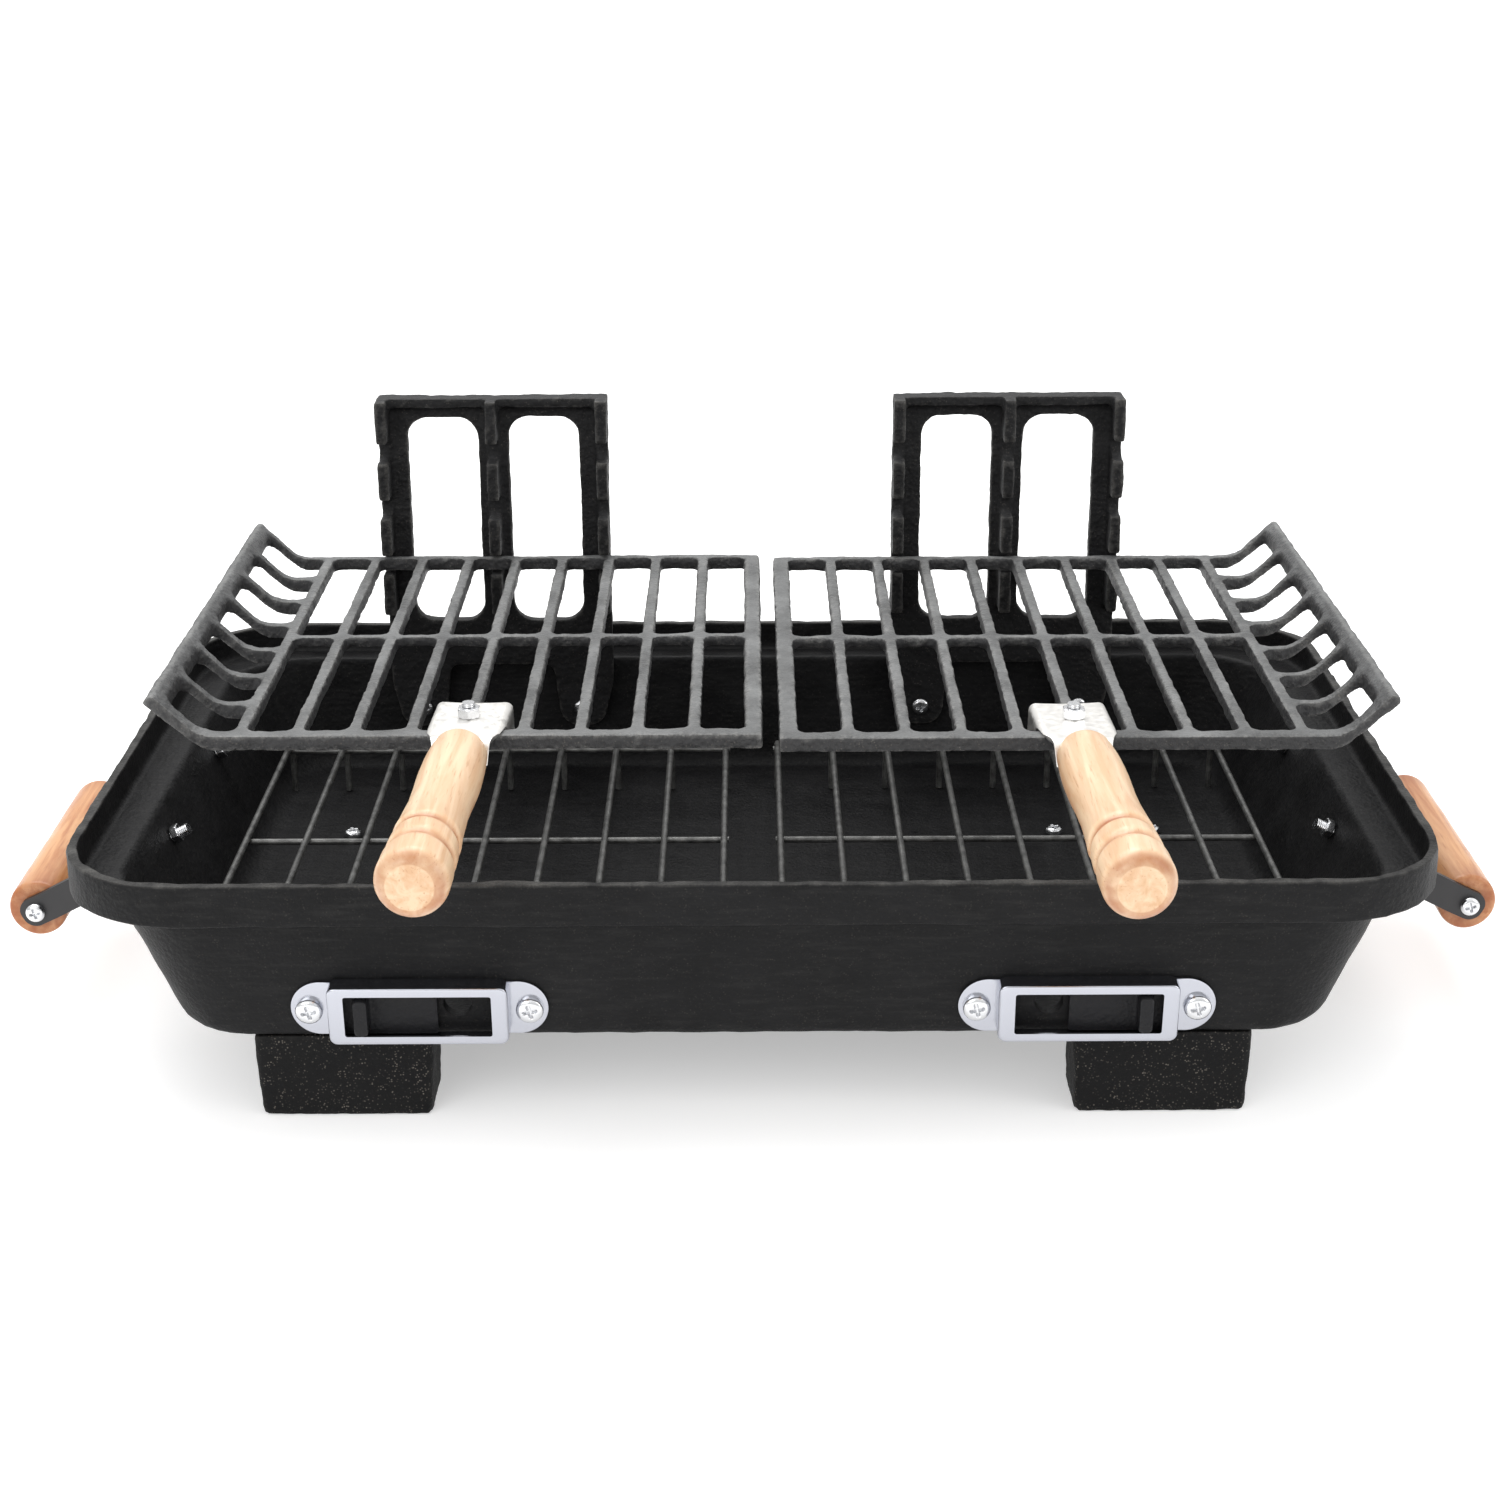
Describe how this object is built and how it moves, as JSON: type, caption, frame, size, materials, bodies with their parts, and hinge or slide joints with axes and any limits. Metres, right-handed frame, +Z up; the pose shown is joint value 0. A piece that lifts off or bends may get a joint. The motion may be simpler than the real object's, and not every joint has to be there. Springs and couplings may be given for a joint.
{
  "type": "hibachi grill",
  "caption": "Cast-iron table-top charcoal grill: open tub firebox on legs, notched rear supports, slotted cooking grates with wooden handles, draught slides and end handles.",
  "frame": {"origin": "centre of the whole object's footprint box, on the surface that its feet stand on", "axes": "+X along the grill to its right end, the front with the draught slides and grate handles faces -Y, +Z up"},
  "size_m": [0.612, 0.4122, 0.222],
  "materials": {
    "cast_iron": "black heat-resistant paint over sand-cast iron, matte",
    "leg_iron": "rough speckled sand-cast iron, matte",
    "support_iron": "raw sand-cast iron, dull",
    "grate_iron": "raw sand-cast iron with paler top faces, dull",
    "damper_iron": "rough sand-cast iron, matte",
    "chrome_frame": "bright chrome plate",
    "rack_wire": "black wire, satin",
    "zinc_bracket": "bright zinc plate, satin",
    "pale_wood": "turned pale hardwood, thin clear lacquer",
    "stained_wood": "orange-brown stained dowel, satin",
    "black_strap": "black paint on flat steel, satin",
    "zinc_screw": "bright zinc plate, glossy"
  },
  "bodies": {
    "firebox_assembly": {"firebox": "cast_iron", "leg_left": "leg_iron", "leg_right": "leg_iron", "support_left": "support_iron", "support_right": "support_iron", "vent_frame_left": "chrome_frame", "vent_frame_right": "chrome_frame", "carry_grip_left": "stained_wood", "carry_grip_right": "stained_wood", "strap_left_front": "black_strap", "strap_left_rear": "black_strap", "strap_right_front": "black_strap", "strap_right_rear": "black_strap", "leg_bolts": "zinc_screw", "leg_nuts": "zinc_screw", "support_bolts": "zinc_screw", "support_nuts": "zinc_screw", "vent_screws": "zinc_screw", "vent_nuts": "zinc_screw", "strap_bolts": "zinc_screw", "strap_nuts": "zinc_screw", "carry_grip_screws": "zinc_screw"},
    "grate_left": {"grate_left": "grate_iron", "handle_bracket_left": "zinc_bracket", "grate_grip_left": "pale_wood", "handle_bolt_left": "zinc_screw", "handle_nut_left": "zinc_screw", "grip_screw_left": "zinc_screw"},
    "grate_right": {"grate_right": "grate_iron", "handle_bracket_right": "zinc_bracket", "grate_grip_right": "pale_wood", "handle_bolt_right": "zinc_screw", "handle_nut_right": "zinc_screw", "grip_screw_right": "zinc_screw"},
    "coal_rack_left": {"coal_rack_left": "rack_wire"},
    "coal_rack_right": {"coal_rack_right": "rack_wire"},
    "damper_left": {"damper_left": "damper_iron"},
    "damper_right": {"damper_right": "damper_iron"}
  },
  "joints": [
    {"name": "grate_left_out", "type": "slide", "parent": "firebox_assembly", "child": "grate_left", "axis": [0, -1, 0], "range_m": [0, 0.3]},
    {"name": "grate_right_out", "type": "slide", "parent": "firebox_assembly", "child": "grate_right", "axis": [0, -1, 0], "range_m": [0, 0.3]},
    {"name": "coal_rack_left_lift", "type": "slide", "parent": "firebox_assembly", "child": "coal_rack_left", "axis": [0, 0, 1], "range_m": [0, 0.06]},
    {"name": "coal_rack_right_lift", "type": "slide", "parent": "firebox_assembly", "child": "coal_rack_right", "axis": [0, 0, 1], "range_m": [0, 0.06]},
    {"name": "damper_left_slide", "type": "slide", "parent": "firebox_assembly", "child": "damper_left", "axis": [1, 0, 0], "range_m": [0, 0.025]},
    {"name": "damper_right_slide", "type": "slide", "parent": "firebox_assembly", "child": "damper_right", "axis": [-1, 0, 0], "range_m": [0, 0.025]}
  ]
}
